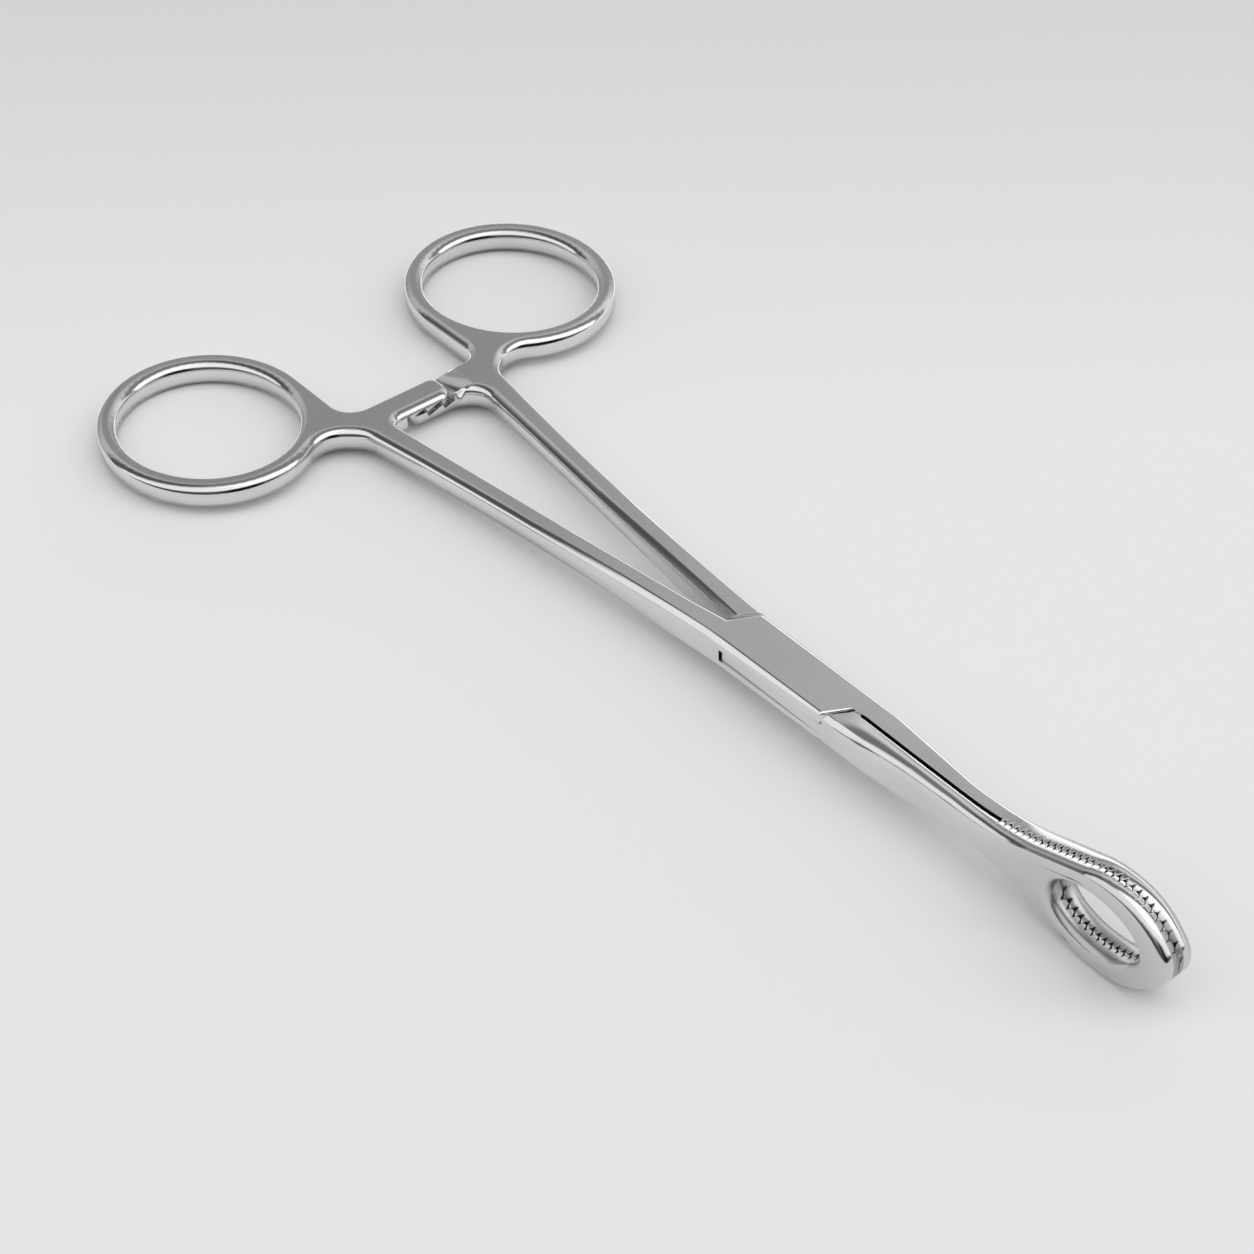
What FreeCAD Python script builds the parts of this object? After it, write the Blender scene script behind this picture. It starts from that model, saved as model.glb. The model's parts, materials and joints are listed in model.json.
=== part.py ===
import FreeCAD, Part
import Sketcher
import math
import os

# Straight sponge forceps with a box lock, closed and lying on a table, in millimetres.
# The plan is drawn about the pivot axis: +X runs to the jaw tips, Y across the handles.

SIZES = [
    # Finger rings and their stock
    ("pivot_to_ring", 96.0),
    ("ring_spacing", 55.0),
    ("ring_length", 29.4),
    ("ring_width", 26.0),
    ("ring_wall", 2.6),
    ("handle_height", 4.3),
    # Shanks
    ("shank_width", 3.9),
    ("shank_bow", 730.0),
    ("shoulder_width", 8.4),
    ("taper_reach", 40.0),
    ("neck_fillet", 3.4),
    ("ring_fillet", 4.8),
    # Ratchet bars
    ("pivot_to_ratchet", 78.4),
    ("ratchet_spread", 15.9),
    ("ratchet_width", 4.6),
    ("upper_bar_end", 3.4),
    ("lower_bar_end", 3.6),
    ("bar_corner", 1.6),
    ("upper_bar_root", 2.0),
    ("lower_bar_root", 4.5),
    ("tooth_pitch", 2.9),
    ("tooth_depth", 0.9),
    ("tooth_count", 3),
    ("tooth_land", 0.4),
    ("tooth_clearance", 0.05),
    ("ramp_gap", 0.5),
    ("ramp_top", 6.9),
    ("ramp_front", 3.5),
    # Box lock
    ("box_height", 5.0),
    ("box_width", 7.7),
    ("box_length", 23.6),
    ("box_side_length", 19.2),
    ("handle_flat_run", 6.2),
    ("jaw_flat_run", 2.2),
    ("jaw_flank_run", 6.2),
    ("tenon_thickness", 1.7),
    ("slot_clearance", 0.05),
    ("shoulder_gap", 0.45),
    ("pin_diameter", 3.0),
    ("pin_head", 4.0),
    ("pin_head_depth", 0.5),
    ("pin_clearance", 0.04),
    # Jaws
    ("pivot_to_tip", 66.7),
    ("jaw_height", 14.0),
    ("jaw_waist", 4.3),
    ("jaw_thickness", 2.8),
    ("jaw_gap", 0.6),
    ("tip_to_brow", 4.6),
    ("crown_length", 7.7),
    ("flank_length", 15.4),
    ("waist_length", 8.0),
    ("chin_height", 3.0),
    ("foot_round", 38.0),
    ("flank_round", 12.0),
    ("brow_share", 1.35),
    ("chin_share", 1.2),
    ("tip_to_window", 11.3),
    ("window_length", 14.4),
    ("window_height", 8.8),
    ("grip_length", 28.7),
    ("serration_pitch", 1.0),
    ("serration_depth", 0.65),
    ("serration_clearance", 0.15),
    # Edges
    ("land_bevel", 0.7),
    ("grip_bevel", 0.3),
]


class Size:
    """A number that keeps the sheet formula it was worked out from."""

    def __init__(self, value, text):
        self.value = float(value)
        self.text = text

    @staticmethod
    def of(other):
        return other if isinstance(other, Size) else Size(other, repr(float(other)))

    def __add__(self, other):
        other = Size.of(other)
        return Size(self.value + other.value, f"({self.text} + {other.text})")

    def __sub__(self, other):
        other = Size.of(other)
        return Size(self.value - other.value, f"({self.text} - {other.text})")

    def __mul__(self, other):
        other = Size.of(other)
        return Size(self.value * other.value, f"({self.text} * {other.text})")

    def __truediv__(self, other):
        other = Size.of(other)
        return Size(self.value / other.value, f"({self.text} / {other.text})")

    def __radd__(self, other):
        return Size.of(other) + self

    def __rsub__(self, other):
        return Size.of(other) - self

    def __rmul__(self, other):
        return Size.of(other) * self

    def __neg__(self):
        return 0.0 - self


def worked(name, size):
    """A sheet function of a Size; angles are in degrees."""
    if name in ("sin", "cos", "tan"):
        value = getattr(math, name)(math.radians(size.value))
    elif name in ("asin", "atan"):
        value = math.degrees(getattr(math, name)(size.value))
    else:
        value = getattr(math, name)(size.value)
    return Size(value, f"{name}({size.text})")


def make_sheet(doc):
    """Write every driving size to the sheet and return them as Size values."""
    sheet = doc.addObject("Spreadsheet::Sheet", "Sizes")
    sizes = {}
    for row, (name, number) in enumerate(SIZES, start=1):
        sheet.set(f"A{row}", name)
        sheet.set(f"B{row}", str(number))
        sheet.setAlias(f"B{row}", name)
        sizes[name] = Size(number, f"Sizes.{name}")
    doc.recompute()
    return sizes


def bind(thing, prop, size):
    """Tie one property of a feature to the sheet."""
    thing.setExpression(prop, Size.of(size).text)


# Sketch helpers

def plane_of(body, role):
    return [item for item in body.Origin.OriginFeatures if item.Role == role][0]


def new_sketch(body, name, role, offset=None):
    sketch = body.newObject("Sketcher::SketchObject", name)
    sketch.AttachmentSupport = [(plane_of(body, role), "")]
    sketch.MapMode = "FlatFace"
    if offset is not None:
        bind(sketch, "AttachmentOffset.Base.z", offset)
    return sketch


def fix_point(sketch, index, end, point):
    """Hold one end of a sketch element at a place worked out from the sheet."""
    for kind, size in zip(("DistanceX", "DistanceY"), point):
        size = Size.of(size)
        number = sketch.addConstraint(Sketcher.Constraint(kind, -1, 1, index, end, size.value))
        sketch.setExpression(f"Constraints[{number}]", size.text)


def draw_loop(sketch, corners, bows=None):
    """Draw a closed outline; bows gives radius and direction of each side that is an arc."""
    bows = bows or {}
    places = [FreeCAD.Vector(Size.of(x).value, Size.of(y).value, 0) for x, y in corners]
    first = sketch.GeometryCount
    count = len(corners)
    for side in range(count):
        start, stop = places[side], places[(side + 1) % count]
        if side in bows:
            radius, turn = bows[side]
            sketch.addGeometry(bowed_arc(start, stop, radius.value, turn))
        else:
            sketch.addGeometry(Part.LineSegment(start, stop))
    for side in range(count):
        arc_start, arc_end = arc_ends(sketch.Geometry[first + side], places[side])
        after = first + (side + 1) % count
        after_start = arc_ends(sketch.Geometry[after], places[(side + 1) % count])[0]
        sketch.addConstraint(
            Sketcher.Constraint("Coincident", first + side, arc_end, after, after_start))
    for side in range(count):
        start = arc_ends(sketch.Geometry[first + side], places[side])[0]
        fix_point(sketch, first + side, start, corners[side])
    for side, (radius, turn) in bows.items():
        number = sketch.addConstraint(Sketcher.Constraint("Radius", first + side, radius.value))
        sketch.setExpression(f"Constraints[{number}]", radius.text)


def bowed_arc(start, stop, radius, turn):
    """An arc from start to stop that bows to the right of travel, or left for turn -1."""
    chord = stop - start
    middle = (start + stop) * 0.5
    rise = radius - math.sqrt(radius * radius - chord.Length ** 2 / 4)
    side = FreeCAD.Vector(chord.y, -chord.x, 0).normalize()
    crown = middle + side * rise * turn
    return Part.Arc(start, crown, stop) if turn > 0 else Part.Arc(stop, crown, start)


def arc_ends(element, start):
    """Which end numbers of an element lie at its start and its stop on the outline."""
    if (element.StartPoint - start).Length < 1e-6:
        return 1, 2
    return 2, 1


def draw_ellipse(sketch, centre, length, width):
    """Draw an ellipse whose long axis lies along the sketch's X."""
    middle = FreeCAD.Vector(Size.of(centre[0]).value, Size.of(centre[1]).value, 0)
    index = sketch.addGeometry(Part.Ellipse(middle, length.value / 2, width.value / 2))
    sketch.exposeInternalGeometry(index)
    fix_point(sketch, index, 3, centre)
    sketch.addConstraint(Sketcher.Constraint("Horizontal", index + 1))
    for axis, size in ((index + 1, length), (index + 2, width)):
        number = sketch.addConstraint(Sketcher.Constraint("Distance", axis, size.value))
        sketch.setExpression(f"Constraints[{number}]", size.text)


# Feature helpers

def settle(doc, feature):
    doc.recompute()
    if "Invalid" in feature.State or "Error" in feature.State or feature.Shape.isNull():
        raise RuntimeError(f"{feature.Name} failed: {feature.State}")
    if not feature.Shape.isValid():
        raise RuntimeError(f"{feature.Name} made an unsound shape")
    return feature


def pad(doc, body, sketch, length):
    """Pad a sketch by half the length to each side of its plane."""
    feature = body.newObject("PartDesign::Pad", f"{sketch.Name}Pad")
    feature.Profile = sketch
    feature.SideType = "Symmetric"
    bind(feature, "Length", length)
    sketch.Visibility = False
    return settle(doc, feature)


def pocket(doc, body, sketch, length):
    """Cut a sketch away by half the length to each side of its plane."""
    before = body.Tip.Shape.Volume
    feature = body.newObject("PartDesign::Pocket", f"{sketch.Name}Pocket")
    feature.Profile = sketch
    feature.SideType = "Symmetric"
    bind(feature, "Length", length)
    sketch.Visibility = False
    settle(doc, feature)
    if feature.Shape.Volume > before - 1e-6:
        raise RuntimeError(f"{feature.Name} cut nothing")
    return feature


def dress(doc, body, kind, edges, size):
    """Fillet or chamfer the listed edges of the body's tip."""
    if not edges:
        raise RuntimeError(f"no edge to dress in {body.Label}")
    base = body.Tip
    feature = body.newObject(f"PartDesign::{kind}", f"{body.Name}{kind}")
    feature.Base = (base, edges)
    bind(feature, "Radius" if kind == "Fillet" else "Size", size)
    return settle(doc, feature)


def edge_names(shape, test):
    return [f"Edge{number}" for number, edge in enumerate(shape.Edges, start=1) if test(edge)]


def upright_near(shape, x, y, reach=0.6):
    """Upright edges that pass the place x, y of the plan."""
    def test(edge):
        box = edge.BoundBox
        upright = box.ZLength > 1.0 and box.XLength < 1e-4 and box.YLength < 1e-4
        return upright and math.hypot(box.XMin - x.value, box.YMin - y.value) < reach
    return edge_names(shape, test)


def crosswise_near(shape, x, z, reach=0.6):
    """Edges across the jaw that pass the place x, z of its side view."""
    def test(edge):
        box = edge.BoundBox
        crosswise = box.YLength > 1.0 and box.XLength < 1e-4 and box.ZLength < 1e-4
        return crosswise and math.hypot(box.XMin - x.value, box.ZMin - z.value) < reach
    return edge_names(shape, test)


def normal_at(face, edge):
    point = edge.valueAt((edge.FirstParameter + edge.LastParameter) / 2)
    u, v = face.Surface.parameter(point)
    return face.normalAt(u, v)


def land_edges(shape, d, skip):
    """Edges where a land meets a side wall, but not between the jaw shanks or within skip."""
    lowest = d["handle_height"].value / 2 - 0.1
    box_front = d["box_length"].value / 2 + 0.01
    front = jaw_places(d)[0].value + 0.01

    def test(edge):
        box = edge.BoundBox
        centre = edge.CenterOfGravity
        if edge.Degenerated or abs(centre.z) < lowest or box.XMax > front:
            return False
        if abs(centre.x) < skip.value:
            return False
        if box.XMax > box_front and abs(centre.y) < 1.0:
            return False
        faces = shape.ancestorsOfType(edge, Part.Face)
        tilts = sorted(abs(normal_at(face, edge).z) for face in faces)
        return len(tilts) == 2 and tilts[0] < 0.05 and tilts[1] > 0.9
    return edge_names(shape, test)


def rim_edges(shape, back, across):
    """Edges of the jaw outline and window in the plane at one height across."""
    def test(edge):
        box = edge.BoundBox
        flat = box.YLength < 0.01 and abs(box.YMin - across.value) < 0.01
        return flat and box.XMin > back.value - 0.01 and box.XLength > 0.01
    return edge_names(shape, test)


def ring_axes(d):
    """Where the ring's centre lies and how far its outer wall reaches."""
    centre = (-d["pivot_to_ring"], d["ring_spacing"] / 2)
    outer = (d["ring_length"] + 2 * d["ring_wall"], d["ring_width"] + 2 * d["ring_wall"])
    return centre, outer


def on_ring(d, turn):
    """A place in the middle of the ring's stock, turned from its inmost point."""
    angle = math.radians(turn)
    along = (d["ring_length"] + d["ring_wall"]) / 2 * math.sin(angle)
    across = (d["ring_width"] + d["ring_wall"]) / 2 * math.cos(angle)
    return along - d["pivot_to_ring"], d["ring_spacing"] / 2 - across


def blank_outline(d, half_box, half_side, bar_end):
    """Plan of neck, ratchet bar, shank and box, with the handle on the positive side."""
    ratchet_far = d["pivot_to_ratchet"] + d["ratchet_width"]
    ring_inmost = d["ring_spacing"] / 2 - d["ring_width"] / 2 - d["ring_wall"]
    inner = d["ratchet_spread"] / 2
    gap = d["jaw_gap"] / 2
    half_box_width = d["box_width"] / 2
    return [
        (-d["pivot_to_ring"], ring_inmost),
        (-ratchet_far, ring_inmost),
        (-ratchet_far, -bar_end),
        (-d["pivot_to_ratchet"], -bar_end),
        (-d["pivot_to_ratchet"], inner),
        (-half_box, gap),
        (-half_side, -half_box_width),
        (half_side, -half_box_width),
        (half_box, -gap),
        (half_side, half_box_width),
        (-half_side, d["shoulder_width"] / 2),
        (-d["pivot_to_ratchet"], inner + d["shank_width"]),
        on_ring(d, 48.0),
        on_ring(d, 30.0),
        on_ring(d, 0.0),
    ]


def box_hexagon(d, half_box):
    """Plan of the box between its slanted ends, widened past both sides."""
    gap = d["jaw_gap"] / 2
    rise = d["box_width"] / 2 - gap
    slope = (d["box_length"] - d["box_side_length"]) / 2 / rise
    wide = d["box_width"] / 2 + 2.0
    corner = half_box - slope * (wide - gap)
    return [(-corner, -wide), (corner, -wide), (half_box, -gap), (half_box, gap),
            (corner, wide), (-corner, wide), (-half_box, gap), (-half_box, -gap)]


def flip(points, side):
    """Put an outline drawn for the positive side on the side that it belongs to."""
    return [(x, side * y) for x, y in points]


def add_ring(doc, body, d, side):
    centre, outer = ring_axes(d)
    centre = (centre[0], side * centre[1])
    sketch = new_sketch(body, f"{body.Name}Ring", "XY_Plane")
    draw_ellipse(sketch, centre, outer[0], outer[1])
    draw_ellipse(sketch, centre, d["ring_length"], d["ring_width"])
    pad(doc, body, sketch, d["handle_height"])


def add_blank(doc, body, d, side, half_box, half_side, bar_end, bar_root):
    """Pad the plan, round its upright corners and thin it toward the ring."""
    corners = blank_outline(d, half_box, half_side, bar_end)
    sketch = new_sketch(body, f"{body.Name}Blank", "XY_Plane")
    draw_loop(sketch, flip(corners, side), {10: (d["shank_bow"], -side)})
    pad(doc, body, sketch, d["box_height"])
    thin_handle(doc, body, d)
    ring_meet = ring_crossing(d, corners[11], corners[12])
    rounds = [
        (corners[1], d["neck_fillet"], 0.3),
        (corners[4], bar_root, 0.3),
        (corners[2], d["bar_corner"], 0.3),
        (corners[3], d["bar_corner"], 0.3),
        (ring_meet, d["ring_fillet"], 1.5),
        (corners[11], d["ring_fillet"], 0.3),
    ]
    for (x, y), radius, reach in rounds:
        edges = upright_near(body.Tip.Shape, Size.of(x), side * Size.of(y), reach)
        dress(doc, body, "Fillet", edges, radius)


def ring_crossing(d, outside, inside):
    """Where the neck's outer side enters the ring's outer wall."""
    centre, outer = ring_axes(d)
    low, high = 0.0, 1.0
    for _ in range(40):
        middle = (low + high) / 2
        x = outside[0].value + (inside[0].value - outside[0].value) * middle
        y = outside[1].value + (inside[1].value - outside[1].value) * middle
        across = (x - centre[0].value) / (outer[0].value / 2)
        up = (y - centre[1].value) / (outer[1].value / 2)
        if across * across + up * up > 1.0:
            low = middle
        else:
            high = middle
    return Size.of(x), Size.of(y)


def thin_handle(doc, body, d):
    """Taper the stock from the box height down to the handle height."""
    start = -(d["box_length"] / 2 + d["handle_flat_run"])
    end = -(d["pivot_to_ring"] + d["ring_length"])
    full = d["box_height"] / 2
    thin = d["handle_height"] / 2
    sketch = new_sketch(body, f"{body.Name}Taper", "XZ_Plane")
    for up in (1.0, -1.0):
        draw_loop(sketch, [
            (start, up * full),
            (-d["taper_reach"], up * thin),
            (end, up * thin),
            (end, up * (full + 1.0)),
            (start, up * (full + 1.0)),
        ])
    pocket(doc, body, sketch, d["ring_spacing"] * 4)


def jaw_places(d):
    """Distances from the pivot to the waist, the flank's foot and crown, and the brow."""
    brow = d["pivot_to_tip"] - d["tip_to_brow"]
    flank = brow - d["crown_length"]
    foot = flank - d["flank_length"]
    return foot - d["waist_length"], foot, flank, brow


def add_jaw(doc, body, d, side):
    """Side view of jaw and jaw shank, trimmed to its plan on the far side from the handle."""
    half = d["jaw_height"] / 2
    waist = d["jaw_waist"] / 2
    chin = d["chin_height"] / 2
    root = d["box_length"] / 4
    waist_reach, foot, flank, brow = jaw_places(d)
    upper = [
        (root, d["box_height"] / 2),
        (d["box_length"] / 2 + d["jaw_flat_run"], d["box_height"] / 2),
        (waist_reach, waist),
        (foot, waist),
        (flank, half),
        (brow, half),
        (d["pivot_to_tip"], chin),
    ]
    lower = [(x, -z) for x, z in reversed(upper)]
    sketch = new_sketch(body, f"{body.Name}Jaw", "XZ_Plane")
    draw_loop(sketch, upper + lower)
    pad(doc, body, sketch, 6 * d["jaw_thickness"])
    brow_round = d["brow_share"] * d["crown_length"]
    chin_round = d["chin_share"] * d["chin_height"]
    rounds = (d["foot_round"], d["flank_round"], brow_round, chin_round)
    for (x, z), radius in zip(upper[3:], rounds):
        edges = crosswise_near(body.Tip.Shape, x, z) + crosswise_near(body.Tip.Shape, x, -z)
        dress(doc, body, "Fillet", edges, radius)
    trim_jaw(doc, body, d, side)
    cut_window(doc, body, d)


def grip_face(d):
    """How far the serration peaks stand from the mid-plane between the jaws."""
    return (d["serration_clearance"] - d["serration_depth"]) / 2


def trim_jaw(doc, body, d, side):
    """Trim the jaw to its plan: a straight gripping side and a back that thins forward."""
    gap = d["jaw_gap"] / 2
    teeth = grip_face(d)
    back = d["box_length"] / 4 - 1.0
    front = d["pivot_to_tip"] + 1.0
    wide = 4 * d["jaw_thickness"]
    grip = d["pivot_to_tip"] - d["grip_length"]
    inner = [(back, gap), (grip, gap), (grip, teeth),
             (front, teeth), (front, -wide), (back, -wide)]
    flank = d["box_length"] / 2 + d["jaw_flank_run"]
    outer = [(back, d["box_width"] / 2), (flank, d["box_width"] / 2),
             (jaw_places(d)[0], d["jaw_thickness"]), (front, d["jaw_thickness"]),
             (front, wide), (back, wide)]
    sketch = new_sketch(body, f"{body.Name}JawPlan", "XY_Plane")
    for loop in (inner, outer):
        draw_loop(sketch, flip(loop, -side))
    pocket(doc, body, sketch, d["jaw_height"] * 2)


def cut_window(doc, body, d):
    sketch = new_sketch(body, f"{body.Name}Window", "XZ_Plane")
    centre = (d["pivot_to_tip"] - d["tip_to_window"], Size.of(0.0))
    draw_ellipse(sketch, centre, d["window_length"], d["window_height"])
    pocket(doc, body, sketch, 6 * d["jaw_thickness"])


def cut_serrations(doc, body, d, side, shift):
    """Rows of grooves across the jaw face, half a pitch apart on the two jaws."""
    pitch = d["serration_pitch"]
    peak = grip_face(d)
    valley = peak + d["serration_depth"]
    start = d["pivot_to_tip"] - d["grip_length"] + shift * pitch
    groove = [(start, peak), (start + pitch / 2, valley), (start + pitch, peak),
              (start + pitch, peak - 0.3), (start, peak - 0.3)]
    sketch = new_sketch(body, f"{body.Name}Groove", "XY_Plane")
    draw_loop(sketch, flip(groove, -side))
    first = pocket(doc, body, sketch, d["jaw_height"] * 2)
    count = int((d["pivot_to_tip"].value - start.value) / pitch.value) + 1
    rows = body.newObject("PartDesign::LinearPattern", f"{body.Name}Serrations")
    rows.Originals = [first]
    rows.Direction = (sketch, ["H_Axis"])
    rows.Occurrences = count
    bind(rows, "Length", (count - 1) * pitch)
    body.Tip = rows
    settle(doc, rows)


def cut_hexagon(doc, body, d, name, half_box, low, high):
    """Remove the box plan between two heights."""
    sketch = new_sketch(body, f"{body.Name}{name}", "XY_Plane", (low + high) / 2)
    draw_loop(sketch, box_hexagon(d, half_box))
    pocket(doc, body, sketch, high - low)


def cut_ratchet(doc, body, d, profile, spare):
    """Remove the half of the bar where the other bar passes, and spare in front of it."""
    place = -(d["pivot_to_ratchet"] + (d["ratchet_width"] - spare) / 2)
    sketch = new_sketch(body, f"{body.Name}Ratchet", "YZ_Plane", place)
    draw_loop(sketch, profile)
    pocket(doc, body, sketch, d["ratchet_width"] + spare)


def upper_teeth(d):
    """Outline under the upper bar: teeth point down, steep toward its own shank."""
    tip = d["tooth_clearance"]
    root = tip + d["tooth_depth"]
    floor = -d["box_height"]
    slope = d["tooth_depth"] / (d["tooth_pitch"] - d["tooth_land"])
    first = d["upper_bar_end"] - d["tooth_pitch"] / 2
    outline = [(d["upper_bar_end"] + 1.0, floor),
               (d["upper_bar_end"] + 1.0, tip + slope * (d["tooth_pitch"] / 2 + 1.0))]
    for tooth in range(int(d["tooth_count"].value)):
        place = first - tooth * d["tooth_pitch"]
        outline += [(place, tip), (place - d["tooth_land"], root)]
    wall = -(d["lower_bar_end"] + 1.0)
    outline += [(wall, root), (wall, floor)]
    return outline


def lower_teeth(d):
    """Outline over the lower bar: teeth point up, and a ramp climbs to the shank."""
    tip = -d["tooth_clearance"]
    root = tip - d["tooth_depth"]
    ceiling = d["box_height"]
    slope = d["tooth_depth"] / (d["tooth_pitch"] - d["tooth_land"])
    wall = d["upper_bar_end"] + d["ramp_gap"]
    first = d["upper_bar_end"] - d["tooth_pitch"] / 2 - d["tooth_land"] / 2
    foot = first + d["tooth_land"]
    outline = [(d["ramp_top"] + 1.0, ceiling), (d["ramp_top"], d["handle_height"] / 2),
               (wall, d["handle_height"] / 4), (wall, root + slope * (wall - foot))]
    for tooth in range(int(d["tooth_count"].value) - 1):
        place = first - tooth * d["tooth_pitch"]
        outline += [(place + d["tooth_land"], root), (place, tip)]
    end = -(d["lower_bar_end"] + 1.0)
    outline += [(end, tip), (end, ceiling)]
    return outline


def pin_profile(d, radius, head):
    """Half section of the flush riveted pin, drawn beside the pivot axis."""
    half = d["box_height"] / 2
    deep = half - d["pin_head_depth"]
    return [(Size.of(0.0), -half), (head, -half), (radius, -deep), (radius, deep),
            (head, half), (Size.of(0.0), half)]


def revolve(doc, body, d, kind):
    sketch = new_sketch(body, f"{body.Name}{kind}Section", "XZ_Plane")
    draw_loop(sketch, pin_profile(d, d["pin_diameter"] / 2, d["pin_head"] / 2))
    feature = body.newObject(f"PartDesign::{kind}", f"{body.Name}{kind}")
    feature.Profile = sketch
    feature.ReferenceAxis = (sketch, ["V_Axis"])
    feature.Angle = 360.0
    sketch.Visibility = False
    return settle(doc, feature)


def bore_tenon(doc, body, d):
    """Running bore for the pin through the tenon."""
    bore = d["pin_diameter"] + 2 * d["pin_clearance"]
    sketch = new_sketch(body, f"{body.Name}Bore", "XY_Plane")
    circle = Part.Circle(FreeCAD.Vector(0, 0, 0), FreeCAD.Vector(0, 0, 1), bore.value / 2)
    index = sketch.addGeometry(circle)
    sketch.addConstraint(Sketcher.Constraint("Coincident", index, 3, -1, 1))
    number = sketch.addConstraint(Sketcher.Constraint("Diameter", index, bore.value))
    sketch.setExpression(f"Constraints[{number}]", bore.text)
    pocket(doc, body, sketch, d["box_height"] * 2)


def bevel_edges(doc, body, d, side, skip):
    """Bevel the lands together with the jaw's back, then the rim of its grip."""
    shape = body.Tip.Shape
    back = rim_edges(shape, jaw_places(d)[0], -side * d["jaw_thickness"])
    dress(doc, body, "Chamfer", land_edges(shape, d, skip) + back, d["land_bevel"])
    start = d["pivot_to_tip"] - d["grip_length"]
    grip = rim_edges(body.Tip.Shape, start, -side * grip_face(d))
    dress(doc, body, "Chamfer", grip, d["grip_bevel"])


def new_body(doc, name):
    body = doc.addObject("PartDesign::Body", name)
    body.Label = name
    return body


def make_female(doc, d):
    """Half with the slotted box: handle on the -Y side, jaw on the +Y side."""
    body = new_body(doc, "female_half")
    half_box = d["box_length"] / 2
    half_side = d["box_side_length"] / 2
    add_jaw(doc, body, d, -1)
    add_ring(doc, body, d, -1)
    add_blank(doc, body, d, -1, half_box, half_side, d["upper_bar_end"], d["upper_bar_root"])
    bevel_edges(doc, body, d, -1, Size.of(0.0))
    cut_ratchet(doc, body, d, upper_teeth(d), Size.of(0.3))
    half_slot = d["tenon_thickness"] / 2 + d["slot_clearance"]
    cut_hexagon(doc, body, d, "Slot", half_box, -half_slot, half_slot)
    revolve(doc, body, d, "Groove")
    cut_serrations(doc, body, d, -1, 0.0)
    return body


def make_male(doc, d):
    """Half with the thinned tenon: handle on the +Y side, jaw on the -Y side."""
    body = new_body(doc, "male_half")
    half_box = d["box_length"] / 2 - d["shoulder_gap"]
    half_side = d["box_side_length"] / 2 - d["shoulder_gap"]
    add_jaw(doc, body, d, 1)
    add_ring(doc, body, d, 1)
    add_blank(doc, body, d, 1, half_box, half_side, d["lower_bar_end"], d["lower_bar_root"])
    half_tenon = d["tenon_thickness"] / 2
    shoulder = d["box_length"] / 2 + d["shoulder_gap"]
    cut_hexagon(doc, body, d, "UpperCheek", shoulder, half_tenon, d["box_height"])
    cut_hexagon(doc, body, d, "LowerCheek", shoulder, -d["box_height"], -half_tenon)
    bevel_edges(doc, body, d, 1, shoulder + 0.1)
    cut_ratchet(doc, body, d, lower_teeth(d), d["ramp_front"])
    bore_tenon(doc, body, d)
    cut_serrations(doc, body, d, 1, -0.5)
    return body


def make_pin(doc, d):
    body = new_body(doc, "pivot_pin")
    revolve(doc, body, d, "Revolution")
    return body


def lay_down(body, d):
    """Rest the closed forceps on the jaw rims and the backs of the rings."""
    ring_back = d["pivot_to_ring"] + d["ring_length"] / 2 + d["ring_wall"]
    rear = ring_back - d["land_bevel"]
    flank_angle = worked("atan", (d["jaw_height"] - d["jaw_waist"]) / 2 / d["flank_length"])
    flank_crown = jaw_places(d)[2] + d["flank_round"] * worked("tan", flank_angle / 2)
    rise = (d["handle_height"] - d["jaw_height"]) / 2 + d["flank_round"]
    run = rear + flank_crown
    reach = worked("sqrt", rise * rise + run * run)
    tilt = worked("asin", d["flank_round"] / reach) - worked("atan", rise / run)
    low = d["handle_height"] / 2 * worked("cos", tilt) + rear * worked("sin", tilt)
    turn = FreeCAD.Rotation(FreeCAD.Vector(0, -1, 0), 1.0)
    body.Placement = FreeCAD.Placement(FreeCAD.Vector(), turn)
    bind(body, "Placement.Rotation.Angle", tilt)
    bind(body, "Placement.Base.x", (ring_back - d["pivot_to_tip"]) / 2)
    bind(body, "Placement.Base.z", low)


def export(doc, bodies):
    """Write each sub-part once every object is sound."""
    for item in doc.Objects:
        if "Invalid" in item.State or "Error" in item.State:
            raise RuntimeError(f"{item.Name} is {item.State}")
    os.makedirs("parts", exist_ok=True)
    for body in bodies:
        shape = body.Shape
        if shape.isNull() or not shape.isValid():
            raise RuntimeError(f"{body.Label} has no sound shape")
        shape.exportStep(f"parts/{body.Label}.step")
        print(body.Label, len(shape.Solids), round(shape.Volume, 2), shape.BoundBox)


def main():
    doc = FreeCAD.newDocument("SpongeForceps")
    sizes = make_sheet(doc)
    bodies = [make_female(doc, sizes), make_male(doc, sizes), make_pin(doc, sizes)]
    for body in bodies:
        lay_down(body, sizes)
    doc.recompute()
    export(doc, bodies)


main()
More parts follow.
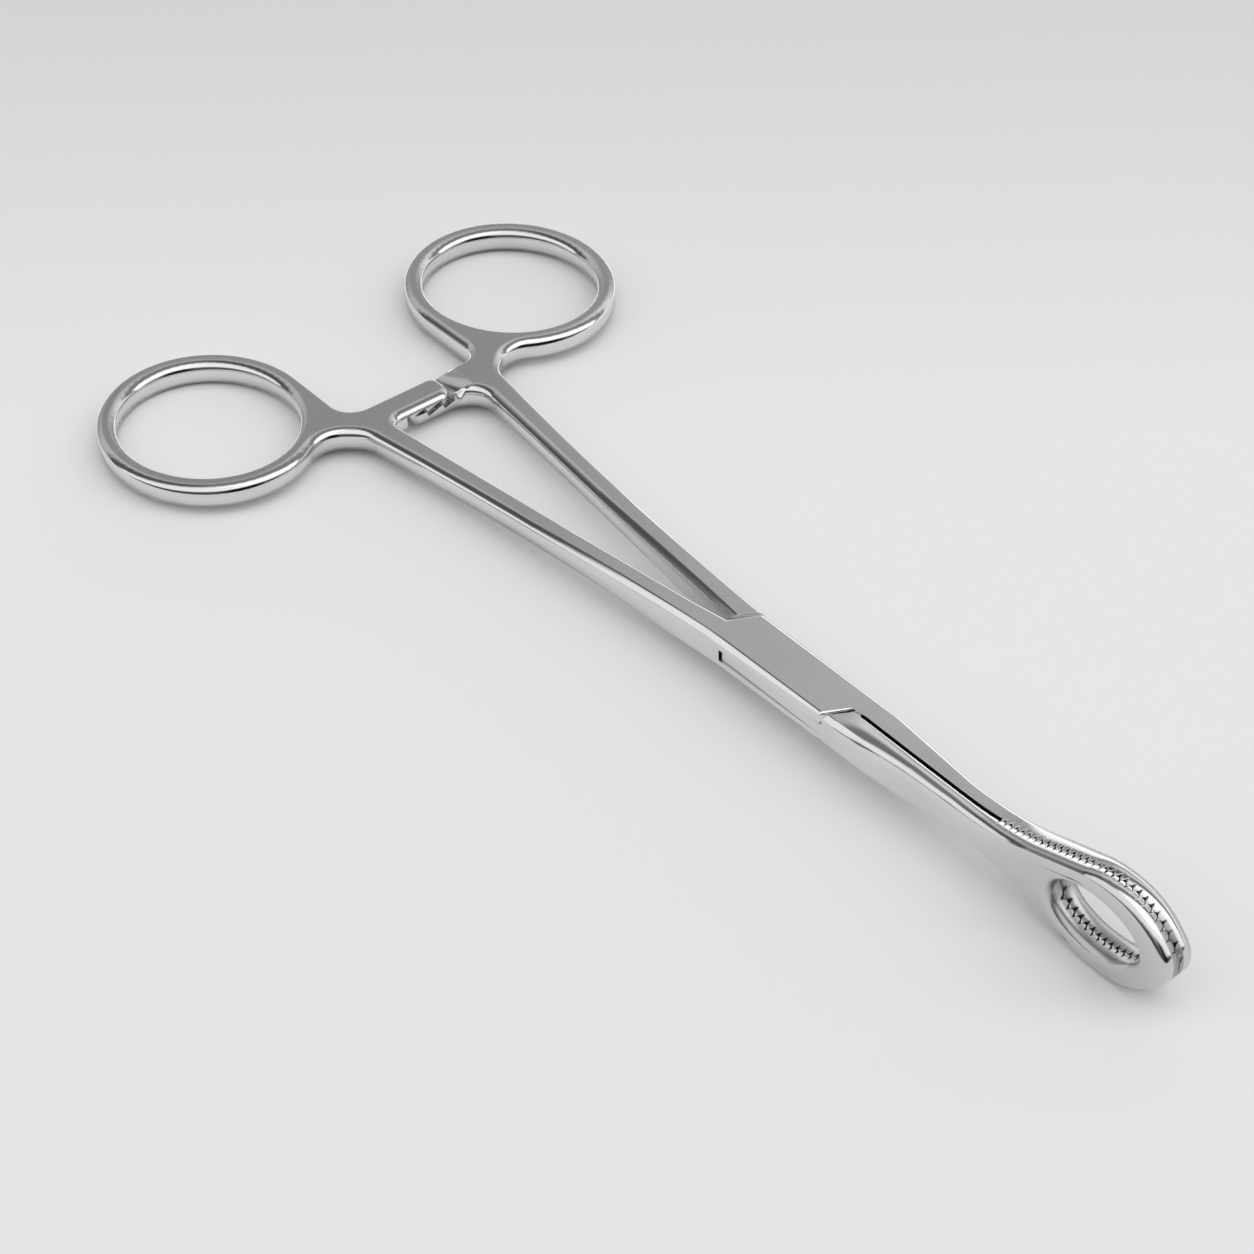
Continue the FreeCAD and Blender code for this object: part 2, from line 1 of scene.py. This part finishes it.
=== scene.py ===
import json
import math
import bmesh
import bpy
from mathutils import Euler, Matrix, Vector


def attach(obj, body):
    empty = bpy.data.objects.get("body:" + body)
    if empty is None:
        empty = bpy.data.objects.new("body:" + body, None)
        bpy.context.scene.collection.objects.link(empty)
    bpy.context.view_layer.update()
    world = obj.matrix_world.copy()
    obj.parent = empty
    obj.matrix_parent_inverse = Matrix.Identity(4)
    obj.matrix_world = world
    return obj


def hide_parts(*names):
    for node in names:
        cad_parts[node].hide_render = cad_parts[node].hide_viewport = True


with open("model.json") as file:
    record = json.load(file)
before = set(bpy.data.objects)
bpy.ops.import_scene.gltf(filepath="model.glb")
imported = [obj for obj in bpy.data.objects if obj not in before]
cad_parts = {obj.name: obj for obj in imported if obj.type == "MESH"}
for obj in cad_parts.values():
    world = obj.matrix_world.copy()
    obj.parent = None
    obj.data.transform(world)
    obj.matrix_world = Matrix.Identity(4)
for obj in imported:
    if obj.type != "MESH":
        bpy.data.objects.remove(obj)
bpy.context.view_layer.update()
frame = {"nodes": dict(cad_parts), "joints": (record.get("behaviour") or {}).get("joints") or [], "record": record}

# Lengths are in metres. Spans along the instrument count from the pivot, positive toward the jaws.

# The instrument lies tilted: its mid-plane climbs by TILT toward the jaws. Nothing is rounded
# or blended within PIN_CLEAR of the pivot.
HINGE = frame["joints"][0]
PIVOT = Vector(HINGE["pos_m"])
TILT = math.asin(HINGE["axis"][0])
PIN_CLEAR = 0.0027

# Distance from the pivot, and how wide the edges are rounded over there.
ROUNDING = [(-0.120, 0.00026), (-0.078, 0.00028), (-0.020, 0.00022), (-0.012, 0.00018),
            (0.012, 0.00018), (0.030, 0.00034), (0.040, 0.00046), (0.070, 0.00046)]
WIDEST_ROUND = max(width for place, width in ROUNDING)
ROUND_STEPS = 3

# The edges of a CAD bevel turn by BEVEL_ANGLES degrees. An edge under SMOOTH_ANGLE is shaded
# smooth, one under FLAT_ANGLE is dissolved, and corners closer than MERGE become one.
BEVEL_ANGLES = (35.0, 55.0)
SMOOTH_ANGLE = math.radians(32.0)
FLAT_ANGLE = math.radians(0.05)
MERGE = 2e-6
FACE_WEIGHT = 100

# The box in the mid-plane: one slanted end passes through SHOULDER and faces SHOULDER_OUT.
# The rear end is the same, turned half round the pivot and REAR_STEP further out.
MOUNTS = {mount["name"]: Vector(mount["pos_m"]) for mount in frame["record"]["mounts"]}
BOX_HALF = (MOUNTS["box_land"] - MOUNTS["box_underside"]).length / 2
CAD_BEVEL = 0.0007
SHOULDER = Vector((0.01174, 0.0003))
SHOULDER_OUT = Vector((4.15, -2.2)).normalized()
SHOULDER_SPAN = (-0.0043, 0.0008)
SHOULDER_REACH = 0.0049
SHOULDER_DRAW = 0.00045
REAR_STEP = 0.0001
LEVEL_SLACK = 2e-5
DEPTH_SLACK = 4e-5

# The grip between the jaws, and its serrations.
GRIP_START = 0.0370
GRIP_DEPTH = 0.0013
GROOVE_ROOT = 0.00040
GROOVE_DEEP = 0.00085
GROOVE_EDGE = (0.0008, 0.0009)

# The jaw windows, as an ellipse, and the fade past it in shares of its squared radius.
HOLE_MIDDLE = 0.0554
HOLE_HALF_LONG = 0.0079
HOLE_HALF_HIGH = 0.0050
HOLE_FADE = (1.0, 1.05)

# Edge blending in the shader: thin seams on the box, softer edges past its ends.
BOX_END = (0.0125, 0.0155)
SEAM_EDGE = 0.00008
BLENDED_EDGE = 0.00020
EDGE_SAMPLES = 8

# Crowned stock falls off by CROWN_CURVE times the squared distance from its middle line, which
# runs CROWN_MIDDLE beside the forceps' middle in the jaws and along the mid-plane in the handle.
# It is counted from CROWN_HALF and LAND_HEIGHT, so that its fades don't tilt the lands.
CROWN_MIDDLE = 0.0011
CROWN_HALF = 0.0012
CROWN_CURVE = 220.0
CROWN_FADE = 0.012
HANDLE_CROWN = (-0.045, -0.014)
LAND_HEIGHT = 0.00225

# How far a normal points up or down on a land, sideways past a jaw window's wall, and lengthways
# on a serration's flank.
LAND_FACING = (0.965, 0.995)
WALL_FACING = (0.35, 0.75)
SLOPE_FACING = (0.45, 0.6)

# Steel: its colours, a random tone, and painted shade.
POLISHED_COLOUR = (0.80, 0.79, 0.80, 1.0)
SATIN_COLOUR = (0.68, 0.67, 0.68, 1.0)
NOISE_SPAN = (0.3, 0.7)
CLOUD_SCALE = 55.0
CLOUD_SHADE = 0.91
# Painted shade: the colour darkens toward the jaws.
JAW_SHADE_SPAN = (0.020, 0.045)
JAW_PAINTED_SHADE = 0.88
# Painted shade: the handle's lands darken toward the rings.
HANDLE_SHADE_SPAN = (-0.080, -0.020)
HANDLE_PAINTED_SHADE = 0.26
# Painted shade in the recesses: full in the serrations, part on the jaw windows' walls; the same mask also
# roughens them.
RECESS_PAINTED_SHADE = 0.65
WINDOW_WALL_SHADE_AND_ROUGH = 0.75

# Steel: its roughness and grain.
SATIN_FADE = 0.004
POLISHED_ROUGH = (0.075, 0.13)
SATIN_ROUGH = (0.27, 0.36)
CUT_ROUGH = 0.30
FINE_SCALE = 2600.0
FINE_SPAN = (0.35, 0.75)
GRAIN_SCALE = (500.0, 14000.0, 14000.0)
GRAIN_DEPTH = 0.0000015
GRAIN_SATIN = 0.35
GRAIN_POLISHED = 0.04

# The camera looks this many degrees round from +Y.
VIEW_TURN = 50.8571
CAMERA_PLACE = (0.21480, -0.18010, 0.24721)
CAMERA_TURN = (48.3815, 0.5479, VIEW_TURN)
SENSOR = 36.0
LENS = 79.28
CLIP_START = 0.01
AWAY = (-math.sin(math.radians(VIEW_TURN)), math.cos(math.radians(VIEW_TURN)), 0.0)
ACROSS = (math.cos(math.radians(VIEW_TURN)), math.sin(math.radians(VIEW_TURN)), 0.0)

# The floor darkens a little away from the camera: painted shade.
FLOOR_SIZE = 6.0
FLOOR_FADE = (0.04, 0.20)
FLOOR_NEAR = (0.90, 0.89, 0.90, 1.0)
FLOOR_FAR = (0.71, 0.70, 0.71, 1.0)
FLOOR_ROUGH = 0.7
FLOOR_SHEEN = 0.2

# The window lamp stands at LAMP_PLACE and looks at the origin.
LAMP_PLACE = (0.12, 0.85, 0.95)
LAMP_SIDE = 2.2
LAMP_POWER = 1.6

# The studio's bands of light, as degrees from the far horizon over the top, and grey there.
# It is a little brighter to the camera's right.
BANDS = [(0, 1.5), (13, 1.2), (24, 0.26), (41, 0.50), (52, 0.08), (61, 0.08),
         (75, 0.95), (136, 0.95), (152, 0.35), (164, 0.08), (180, 0.08)]
WORLD_STRENGTH = 1.135
SIDE_SPAN = (-0.9, 0.6)
SIDE_SHADE = (0.90, 1.12)

# The ways to a dark spot of the studio beside the camera, and to the window with its glow.
STAND = (0.951, -0.168, 0.259)
STAND_SPAN = (0.90, 0.97)
STAND_SHADE = (1.0, 0.08)
WINDOW = Vector(LAMP_PLACE).normalized()
GLOW_SPAN = (0.70, 1.0)
GLOW_LEVEL = (0.0, 0.55)


# Shader helpers

# Which sockets of a mix node hold its two inputs and its result, by data type.
MIX_SOCKETS = {"FLOAT": (2, 3, 0), "RGBA": (6, 7, 2)}


def add(tree, kind, inputs, **values):
    """A new node; each input is a constant or another node's output."""
    node = tree.nodes.new(kind)
    for name, value in values.items():
        setattr(node, name, value)
    for socket, value in inputs.items():
        if isinstance(value, bpy.types.NodeSocket):
            tree.links.new(value, node.inputs[socket])
        else:
            node.inputs[socket].default_value = value
    return node


def calc(tree, operation, *values):
    """The result of a math node."""
    node = add(tree, "ShaderNodeMath", dict(enumerate(values)), operation=operation)
    return node.outputs[0]


def squared(tree, value):
    return calc(tree, "POWER", value, 2.0)


def size_of(tree, value):
    return calc(tree, "ABSOLUTE", value)


def product(tree, *values):
    result, *others = values
    for other in others:
        result = calc(tree, "MULTIPLY", result, other)
    return result


def spread(tree, value, span, levels=(0.0, 1.0)):
    """Map a span onto two levels, and hold these past its ends."""
    names = ("From Min", "From Max", "To Min", "To Max")
    inputs = dict(zip(names, (*span, *levels)), Value=value)
    return add(tree, "ShaderNodeMapRange", inputs, clamp=True).outputs["Result"]


def mixed(tree, kind, factor, first, second, **values):
    low, high, result = MIX_SOCKETS[kind]
    inputs = {"Factor": factor, low: first, high: second}
    return add(tree, "ShaderNodeMix", inputs, data_type=kind, **values).outputs[result]


def noise(tree, place, scale, detail, rough=0.5):
    inputs = {"Vector": place, "Scale": scale, "Detail": detail, "Roughness": rough}
    return add(tree, "ShaderNodeTexNoise", inputs).outputs["Fac"]


def bumped(tree, normal, height, distance, strength=1.0):
    inputs = {"Normal": normal, "Height": height, "Distance": distance, "Strength": strength}
    return add(tree, "ShaderNodeBump", inputs).outputs["Normal"]


def separated(tree, vector):
    return add(tree, "ShaderNodeSeparateXYZ", {"Vector": vector}).outputs


def toward(tree, vector, direction):
    """How far a vector points in one direction."""
    inputs = {0: vector, 1: direction}
    return add(tree, "ShaderNodeVectorMath", inputs, operation="DOT_PRODUCT").outputs["Value"]


def new_material(name):
    """A material, its emptied node tree and its texture coordinates."""
    material = bpy.data.materials.new(name)
    material.use_nodes = True
    material.node_tree.nodes.clear()
    coords = add(material.node_tree, "ShaderNodeTexCoord", {}).outputs
    return material, material.node_tree, coords


def surface(tree, inputs):
    shader = add(tree, "ShaderNodeBsdfPrincipled", inputs)
    add(tree, "ShaderNodeOutputMaterial", {"Surface": shader.outputs["BSDF"]})


# Materials

def land_mask(tree, normal):
    """1 on the flat lands that face up or down, 0 on walls, bevels and jaw backs."""
    up = toward(tree, normal, (-math.sin(TILT), 0.0, math.cos(TILT)))
    return spread(tree, size_of(tree, up), LAND_FACING)


def edge_radius(tree, along, aside):
    """Soft edges everywhere but at the crisp box lock, and none round the ground-flush pin."""
    soft = spread(tree, size_of(tree, along), BOX_END, (SEAM_EDGE, BLENDED_EDGE))
    reach = calc(tree, "ADD", squared(tree, along), squared(tree, aside))
    return product(tree, soft, calc(tree, "GREATER_THAN", reach, PIN_CLEAR ** 2))


def crown(tree, along, aside, level, crowned_from):
    """The fall of crowned stock: across the jaws, and up the handle's walls."""
    across = calc(tree, "SUBTRACT", aside, CROWN_MIDDLE)
    wide = calc(tree, "SUBTRACT", squared(tree, across), CROWN_HALF ** 2)
    high = calc(tree, "SUBTRACT", squared(tree, level), LAND_HEIGHT ** 2)
    jaw = spread(tree, along, (crowned_from, crowned_from + CROWN_FADE), (0.0, CROWN_CURVE))
    handle = spread(tree, along, HANDLE_CROWN, (CROWN_CURVE, 0.0))
    fall = calc(tree, "ADD", product(tree, wide, jaw), product(tree, high, handle))
    return product(tree, fall, -1.0)


def shaded_rough_recesses(tree, along, aside, level, normal):
    """Painted shade and a rougher finish in the recesses: part on the jaw windows' walls, 1 in the serrations,
    else 0.
    """
    facing = separated(tree, normal)
    over = calc(tree, "DIVIDE", calc(tree, "SUBTRACT", along, HOLE_MIDDLE), HOLE_HALF_LONG)
    tall = calc(tree, "DIVIDE", level, HOLE_HALF_HIGH)
    far = calc(tree, "ADD", squared(tree, over), squared(tree, tall))
    inside = spread(tree, far, HOLE_FADE, (1.0, 0.0))
    upright = spread(tree, size_of(tree, facing["Y"]), WALL_FACING, (1.0, 0.0))
    deep = spread(tree, aside, GROOVE_EDGE, (1.0, 0.0))
    slope = spread(tree, size_of(tree, facing["X"]), SLOPE_FACING)
    shaded_recess = calc(tree, "MAXIMUM", product(tree, inside, upright, WINDOW_WALL_SHADE_AND_ROUGH),
               product(tree, deep, slope))
    return product(tree, shaded_recess, calc(tree, "GREATER_THAN", along, GRIP_START))


def steel(name, satin_to, crowned_from):
    """Polished steel; the lands up to satin_to past the pivot are brushed to a satin finish."""
    material, tree, coords = new_material(name)
    place, normal = coords["Object"], coords["Normal"]
    split = separated(tree, place)
    along = calc(tree, "SUBTRACT", split["X"], PIVOT.x)
    aside = size_of(tree, split["Y"])
    rise = product(tree, along, math.sin(TILT))
    level = calc(tree, "SUBTRACT", calc(tree, "SUBTRACT", split["Z"], PIVOT.z), rise)
    brushed = spread(tree, along, (satin_to, satin_to + SATIN_FADE), (1.0, 0.0))
    land = product(tree, land_mask(tree, normal), brushed)
    # The recesses that get painted shade and a rougher finish.
    recess_shade_and_rough = shaded_rough_recesses(tree, along, aside, level, normal)

    stretched = add(tree, "ShaderNodeMapping", {"Vector": place, "Scale": GRAIN_SCALE})
    grain = noise(tree, stretched.outputs["Vector"], scale=1.0, detail=2.0)
    fine = noise(tree, place, FINE_SCALE, detail=4.0, rough=0.6)
    cloud = noise(tree, place, CLOUD_SCALE, detail=3.0)

    cloudy = spread(tree, cloud, NOISE_SPAN, (CLOUD_SHADE, 1.0))
    # Painted shade on the jaws.
    jaw = spread(tree, along, JAW_SHADE_SPAN, (1.0, JAW_PAINTED_SHADE))
    # Painted shade in the recesses.
    shaded_recess = spread(tree, recess_shade_and_rough, (0.0, 1.0), (1.0, RECESS_PAINTED_SHADE))
    # Painted shade on the handle's lands.
    handle_shade = product(tree, spread(tree, along, HANDLE_SHADE_SPAN, (HANDLE_PAINTED_SHADE, 0.0)), land)
    dark = product(tree, cloudy, jaw, shaded_recess, calc(tree, "SUBTRACT", 1.0, handle_shade))
    grey = add(tree, "ShaderNodeCombineColor", {"Red": dark, "Green": dark, "Blue": dark})
    tint = mixed(tree, "RGBA", land, POLISHED_COLOUR, SATIN_COLOUR)
    colour = mixed(tree, "RGBA", 1.0, tint, grey.outputs["Color"], blend_type="MULTIPLY")

    polished = spread(tree, fine, FINE_SPAN, POLISHED_ROUGH)
    satin = spread(tree, grain, NOISE_SPAN, SATIN_ROUGH)
    rough = mixed(tree, "FLOAT", land, polished, satin)
    rough = calc(tree, "ADD", rough, product(tree, recess_shade_and_rough, CUT_ROUGH))

    radius = edge_radius(tree, along, aside)
    edge = add(tree, "ShaderNodeBevel", {"Radius": radius}, samples=EDGE_SAMPLES)
    fall = crown(tree, along, aside, level, crowned_from)
    domed = bumped(tree, edge.outputs["Normal"], fall, distance=1.0)
    strength = calc(tree, "ADD", product(tree, land, GRAIN_SATIN), GRAIN_POLISHED)
    grained = bumped(tree, domed, grain, GRAIN_DEPTH, strength)
    surface(tree, {"Metallic": 1.0, "Base Color": colour, "Roughness": rough, "Normal": grained})
    return material


def ground():
    material, tree, coords = new_material("pale_ground")
    # Painted shade: the floor's colour darkens away from the camera.
    fade = spread(tree, toward(tree, coords["Object"], AWAY), FLOOR_FADE)
    surface(tree, {"Base Color": mixed(tree, "RGBA", fade, FLOOR_NEAR, FLOOR_FAR),
                   "Roughness": FLOOR_ROUGH, "Specular IOR Level": FLOOR_SHEEN})
    return material


# Hand-finished halves

def placed(name, data, location=(0.0, 0.0, 0.0)):
    thing = bpy.data.objects.new(name, data)
    bpy.context.scene.collection.objects.link(thing)
    thing.location = location
    return thing


def rounding_at(along):
    """How wide the edges are rounded over at a distance from the pivot."""
    for (start, low), (end, high) in zip(ROUNDING, ROUNDING[1:]):
        if start <= along <= end:
            return low + (high - low) * (along - start) / (end - start)
    return 0.0


def middle_of(edge):
    """The middle of an edge, as the distance along from the pivot and the one aside."""
    middle = (edge.verts[0].co + edge.verts[1].co) / 2
    return middle.x - PIVOT.x, middle.y


def is_bevel(edge):
    """An outward edge of a CAD bevel; the grip's own edges stay crisp."""
    if len(edge.link_faces) != 2 or edge.calc_face_angle_signed(0.0) < 0.0:
        return False
    low, high = BEVEL_ANGLES
    if not low < math.degrees(edge.calc_face_angle(0.0)) < high:
        return False
    along, aside = middle_of(edge)
    on_pin = math.hypot(along, aside) < PIN_CLEAR
    return not (on_pin or along > GRIP_START and abs(aside) < GRIP_DEPTH)


def deepen_grooves(shape):
    """Run the serrations to full depth: their root lines move away from the middle plane."""
    for vert in shape.verts:
        on_root = abs(abs(vert.co.y) - GROOVE_ROOT) < LEVEL_SLACK
        if on_root and vert.co.x - PIVOT.x > GRIP_START:
            vert.co.y = math.copysign(GROOVE_DEEP, vert.co.y)


def sharpen_shoulders(shape):
    """Draw the bevel on the slanted box ends in, so that the shoulder gap shows beside it."""
    low, high = SHOULDER_SPAN
    for vert in shape.verts:
        along = vert.co.x - PIVOT.x
        side = math.copysign(1.0, along)
        level = (vert.co.z - PIVOT.z - along * math.sin(TILT)) / math.cos(TILT)
        place = Vector((along * side, vert.co.y * side)) - SHOULDER
        depth = place.dot(SHOULDER_OUT) - (REAR_STEP if along < 0.0 else 0.0)
        under = BOX_HALF - abs(level)
        if not low < place.y < high or place.length > SHOULDER_REACH:
            continue
        if abs(under) < LEVEL_SLACK and abs(depth + CAD_BEVEL) < DEPTH_SLACK:
            vert.co.xy += SHOULDER_OUT * side * SHOULDER_DRAW
        elif abs(under - CAD_BEVEL) < LEVEL_SLACK and abs(depth) < DEPTH_SLACK:
            vert.co.z += math.copysign(SHOULDER_DRAW, level)


def finished(name, node):
    """A copy of a CAD half with its bevels rounded over; it stands for that half."""
    shape = bmesh.new()
    shape.from_mesh(node.data)
    bmesh.ops.remove_doubles(shape, verts=shape.verts, dist=MERGE)
    bmesh.ops.dissolve_limit(shape, angle_limit=FLAT_ANGLE, use_dissolve_boundaries=False,
                             verts=shape.verts, edges=shape.edges)
    deepen_grooves(shape)
    if name.startswith("female"):
        sharpen_shoulders(shape)
    weight = shape.edges.layers.float.new("bevel_weight_edge")
    for edge in shape.edges:
        if is_bevel(edge):
            edge[weight] = rounding_at(middle_of(edge)[0]) / WIDEST_ROUND
        edge.smooth = edge[weight] > 0.0 or edge.calc_face_angle(0.0) < SMOOTH_ANGLE
    for face in shape.faces:
        face.smooth = True
    mesh = bpy.data.meshes.new(name)
    shape.to_mesh(mesh)
    shape.free()
    if "custom_normal" in mesh.attributes:
        mesh.attributes.remove(mesh.attributes["custom_normal"])
    piece = placed(name, mesh)
    piece.matrix_world = node.matrix_world
    rounding = piece.modifiers.new("rounding", "BEVEL")
    rounding.limit_method = "WEIGHT"
    rounding.width = WIDEST_ROUND
    rounding.segments = ROUND_STEPS
    rounding.use_clamp_overlap = False
    weighted = piece.modifiers.new("weighted", "WEIGHTED_NORMAL")
    weighted.keep_sharp = True
    weighted.weight = FACE_WEIGHT
    return piece


half_steel = steel("half_steel", satin_to=0.040, crowned_from=0.040)
domed_steel = steel("domed_steel", satin_to=0.011, crowned_from=0.012)
pin = frame["nodes"]["pivot_pin"]
pin.data.materials.clear()
pin.data.materials.append(half_steel)
for body, material in (("female", half_steel), ("male", domed_steel)):
    name = body + "_half"
    piece = finished(name + "_finished", frame["nodes"][name])
    piece.data.materials.append(material)
    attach(piece, body)
    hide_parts(name)


# Floor and light

def square(name, size):
    mesh = bpy.data.meshes.new(name)
    half = size / 2
    corners = [(-half, -half, 0), (half, -half, 0), (half, half, 0), (-half, half, 0)]
    mesh.from_pydata(corners, [], [(0, 1, 2, 3)])
    return placed(name, mesh)


def soft_light(name, place, side, power):
    """A square lamp that looks at the origin."""
    lamp = bpy.data.lights.new(name, "AREA")
    lamp.shape = "RECTANGLE"
    lamp.size = lamp.size_y = side
    lamp.energy = power
    thing = placed(name, lamp, place)
    thing.rotation_euler = (-Vector(place)).to_track_quat("-Z", "Y").to_euler()
    return thing


def studio_world(bands, strength):
    """Bands of light across the view, from the far horizon over the top to the near one."""
    world = bpy.data.worlds.new("studio")
    bpy.context.scene.world = world
    world.use_nodes = True
    sky = world.node_tree
    sky.nodes.clear()
    ray = add(sky, "ShaderNodeTexCoord", {}).outputs["Generated"]
    height = size_of(sky, separated(sky, ray)["Z"])
    angle = calc(sky, "ARCTAN2", height, toward(sky, ray, AWAY))
    ramp = add(sky, "ShaderNodeValToRGB", {"Fac": calc(sky, "DIVIDE", angle, math.pi)})
    ramp.color_ramp.interpolation = "EASE"
    stops = ramp.color_ramp.elements
    stops.remove(stops[1])
    for number, (degrees, grey) in enumerate(bands):
        stop = stops.new(degrees / 180) if number else stops[0]
        stop.position = degrees / 180
        stop.color = (grey, grey, grey, 1.0)
    side = spread(sky, toward(sky, ray, ACROSS), SIDE_SPAN, SIDE_SHADE)
    stand = spread(sky, toward(sky, ray, STAND), STAND_SPAN, STAND_SHADE)
    glow = spread(sky, toward(sky, ray, WINDOW), GLOW_SPAN, GLOW_LEVEL)
    level = calc(sky, "ADD", product(sky, side, stand, strength), glow)
    light = add(sky, "ShaderNodeBackground", {"Color": ramp.outputs["Color"], "Strength": level})
    add(sky, "ShaderNodeOutputWorld", {"Surface": light.outputs["Background"]})


floor = square("floor", FLOOR_SIZE)
floor.data.materials.append(ground())
soft_light("window_side", LAMP_PLACE, LAMP_SIDE, LAMP_POWER)
studio_world(BANDS, WORLD_STRENGTH)


# Camera

camera = bpy.data.cameras.new("camera")
camera.sensor_width = SENSOR
camera.lens = LENS
camera.clip_start = CLIP_START
viewer = placed("camera", camera, CAMERA_PLACE)
viewer.rotation_euler = Euler([math.radians(degrees) for degrees in CAMERA_TURN])
bpy.context.scene.camera = viewer
bpy.context.scene.view_settings.view_transform = "Standard"
